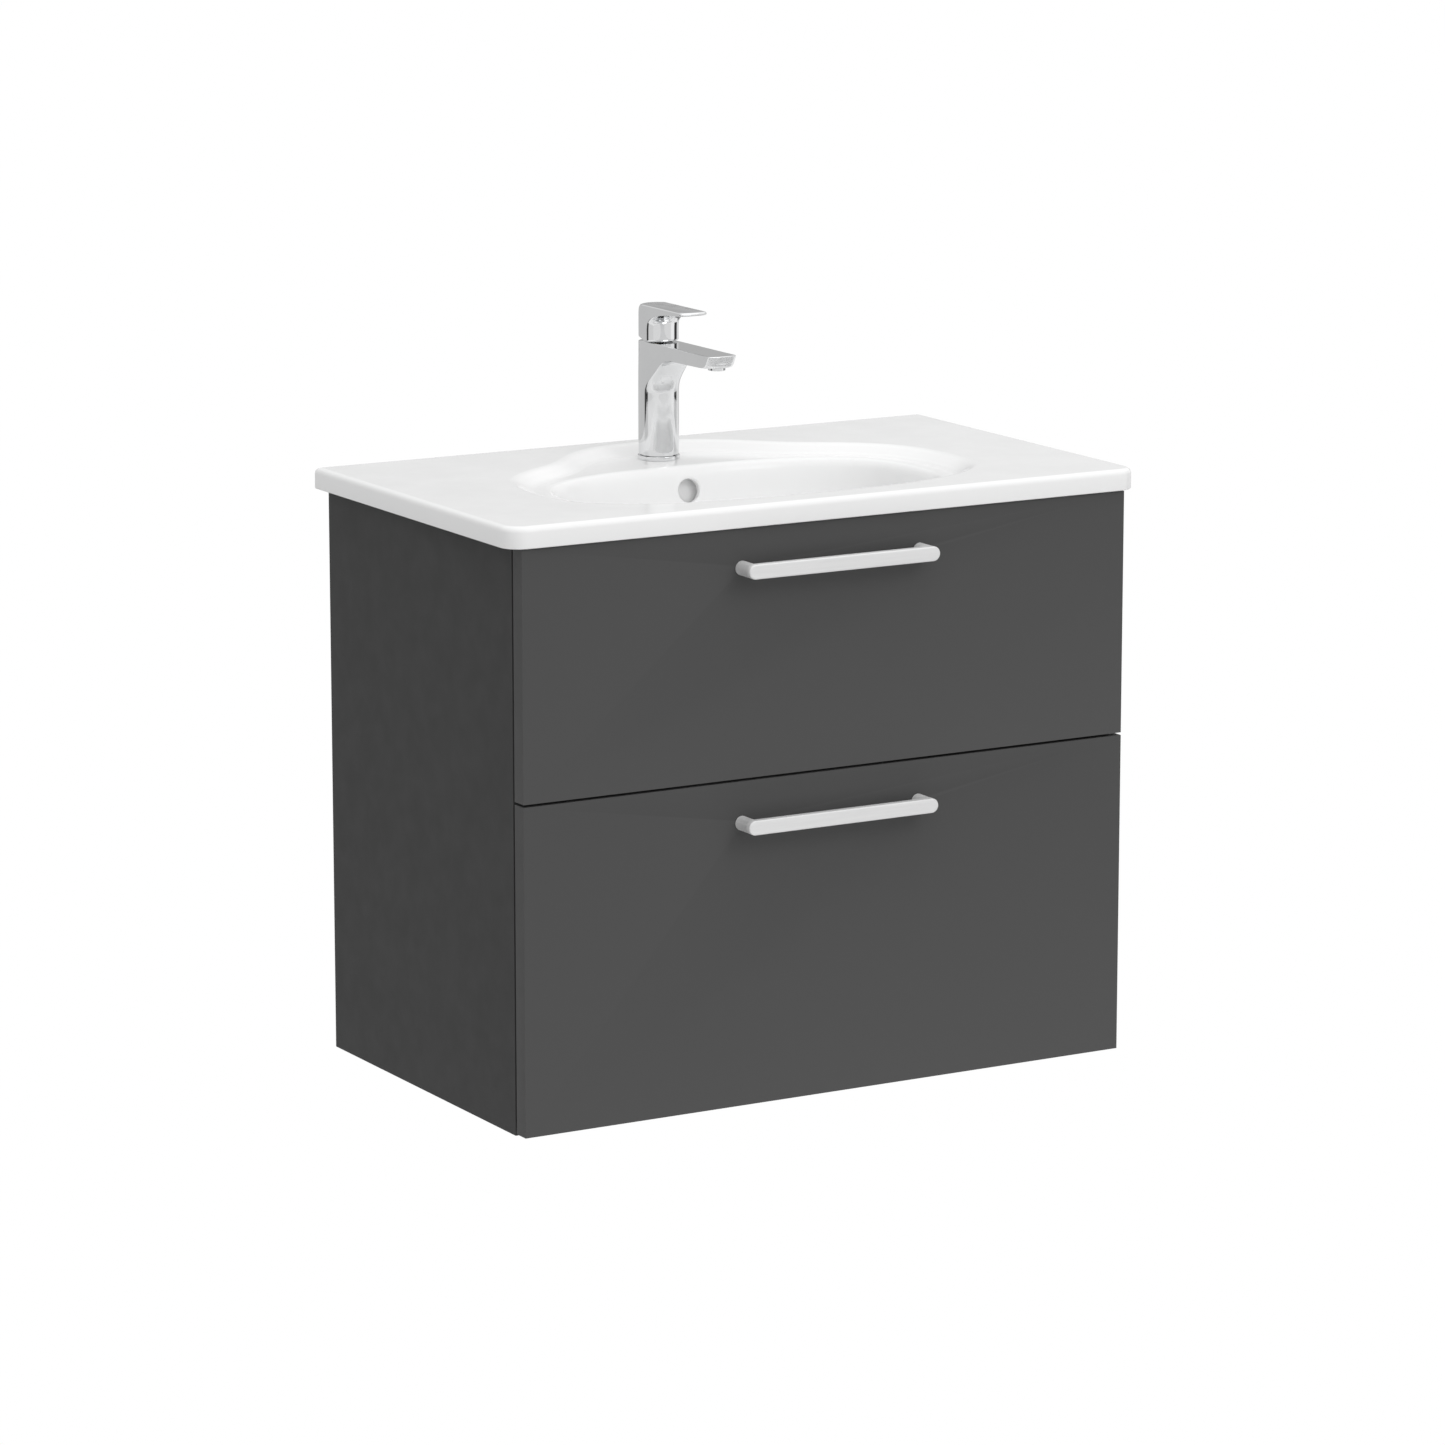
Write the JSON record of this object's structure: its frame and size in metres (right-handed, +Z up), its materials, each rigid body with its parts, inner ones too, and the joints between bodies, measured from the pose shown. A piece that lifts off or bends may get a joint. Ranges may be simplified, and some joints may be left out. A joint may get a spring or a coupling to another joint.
{
  "type": "bathroom vanity cabinet",
  "caption": "Wall-hung vanity cabinet with a white ceramic basin, chrome single-lever tap and anthracite drawers with bar handles.",
  "frame": {"origin": "centre of the wall rail's rear face, on the wall, 590 mm above the carcass underside", "axes": "+Z up, +Y into the wall, the drawers open towards -Y, +X to the right seen from the front"},
  "size_m": [0.8, 0.494, 0.8407],
  "materials": {
    "matt_anthracite": "matt lacquered chipboard",
    "drawer_grey": "light grey laminated board",
    "white_ceramic": "gloss glaze",
    "chrome": "polished",
    "satin_handle": "satin light grey",
    "zinc_steel": "zinc plated",
    "raw_brass": "machined",
    "black_rubber": "matt",
    "grey_plastic": "moulded"
  },
  "bodies": {
    "cabinet": {"side_panel_left": "matt_anthracite", "side_panel_right": "matt_anthracite", "bottom_panel": "matt_anthracite", "front_cross_rail": "matt_anthracite", "rear_rail_upper": "matt_anthracite", "rear_rail_lower": "matt_anthracite", "wall_rail": "zinc_steel", "hanger_left": "grey_plastic", "hanger_right": "grey_plastic", "hanger_hook_left": "zinc_steel", "hanger_hook_right": "zinc_steel", "basin": "white_ceramic", "waste_body": "chrome", "waste_gasket": "black_rubber", "waste_nut": "zinc_steel", "tap_base_ring": "chrome", "tap_body": "chrome", "aerator": "chrome", "cartridge": "grey_plastic", "cartridge_nut": "chrome", "tap_stud": "zinc_steel", "tap_washer": "black_rubber", "tap_nut": "raw_brass", "upper_runner_fixed_left": "zinc_steel", "upper_runner_fixed_right": "zinc_steel", "lower_runner_fixed_left": "zinc_steel", "lower_runner_fixed_right": "zinc_steel"},
    "upper_drawer": {"upper_drawer_front": "matt_anthracite", "upper_handle": "satin_handle", "upper_handle_screw_left": "zinc_steel", "upper_handle_screw_right": "zinc_steel", "upper_drawer_side_left": "drawer_grey", "upper_drawer_side_right": "drawer_grey", "upper_drawer_bottom": "drawer_grey", "upper_drawer_back_left": "drawer_grey", "upper_drawer_back_right": "drawer_grey", "siphon_surround": "grey_plastic", "upper_runner_drawer_left": "zinc_steel", "upper_runner_drawer_right": "zinc_steel"},
    "upper_runner_middles": {"upper_runner_middle_left": "zinc_steel", "upper_runner_middle_right": "zinc_steel"},
    "lower_drawer": {"lower_drawer_front": "matt_anthracite", "lower_handle": "satin_handle", "lower_handle_screw_left": "zinc_steel", "lower_handle_screw_right": "zinc_steel", "lower_drawer_side_left": "drawer_grey", "lower_drawer_side_right": "drawer_grey", "lower_drawer_bottom": "drawer_grey", "lower_drawer_back": "drawer_grey", "lower_runner_drawer_left": "zinc_steel", "lower_runner_drawer_right": "zinc_steel"},
    "lower_runner_middles": {"lower_runner_middle_left": "zinc_steel", "lower_runner_middle_right": "zinc_steel"},
    "tap_yoke": {"cartridge_yoke": "grey_plastic"},
    "tap_lever": {"lever": "chrome", "lever_spindle": "raw_brass", "lever_grub_screw": "zinc_steel"},
    "waste_plug": {"waste_plug": "chrome"}
  },
  "joints": [
    {"name": "upper_drawer_slide", "type": "slide", "parent": "cabinet", "child": "upper_drawer", "axis": [0, -1, 0], "range_m": [0, 0.38]},
    {"name": "upper_runner_slide", "type": "slide", "parent": "cabinet", "child": "upper_runner_middles", "axis": [0, -1, 0], "range_m": [0, 0.19]},
    {"name": "lower_drawer_slide", "type": "slide", "parent": "cabinet", "child": "lower_drawer", "axis": [0, -1, 0], "range_m": [0, 0.38]},
    {"name": "lower_runner_slide", "type": "slide", "parent": "cabinet", "child": "lower_runner_middles", "axis": [0, -1, 0], "range_m": [0, 0.19]},
    {"name": "tap_swivel", "type": "hinge", "parent": "cabinet", "child": "tap_yoke", "pos_m": [0, -0.079, 0.207], "axis": [0, 0, 1], "range_deg": [-45, 45]},
    {"name": "tap_lift", "type": "hinge", "parent": "tap_yoke", "child": "tap_lever", "pos_m": [0, -0.079, 0.207], "axis": [-1, 0, 0], "range_deg": [0, 16]},
    {"name": "plug_lift", "type": "slide", "parent": "cabinet", "child": "waste_plug", "axis": [0, 0, 1], "range_m": [0, 0.008]}
  ],
  "couplings": [
    {"joint": "upper_runner_slide", "follows": "upper_drawer_slide", "ratio": 0.5},
    {"joint": "lower_runner_slide", "follows": "lower_drawer_slide", "ratio": 0.5}
  ]
}
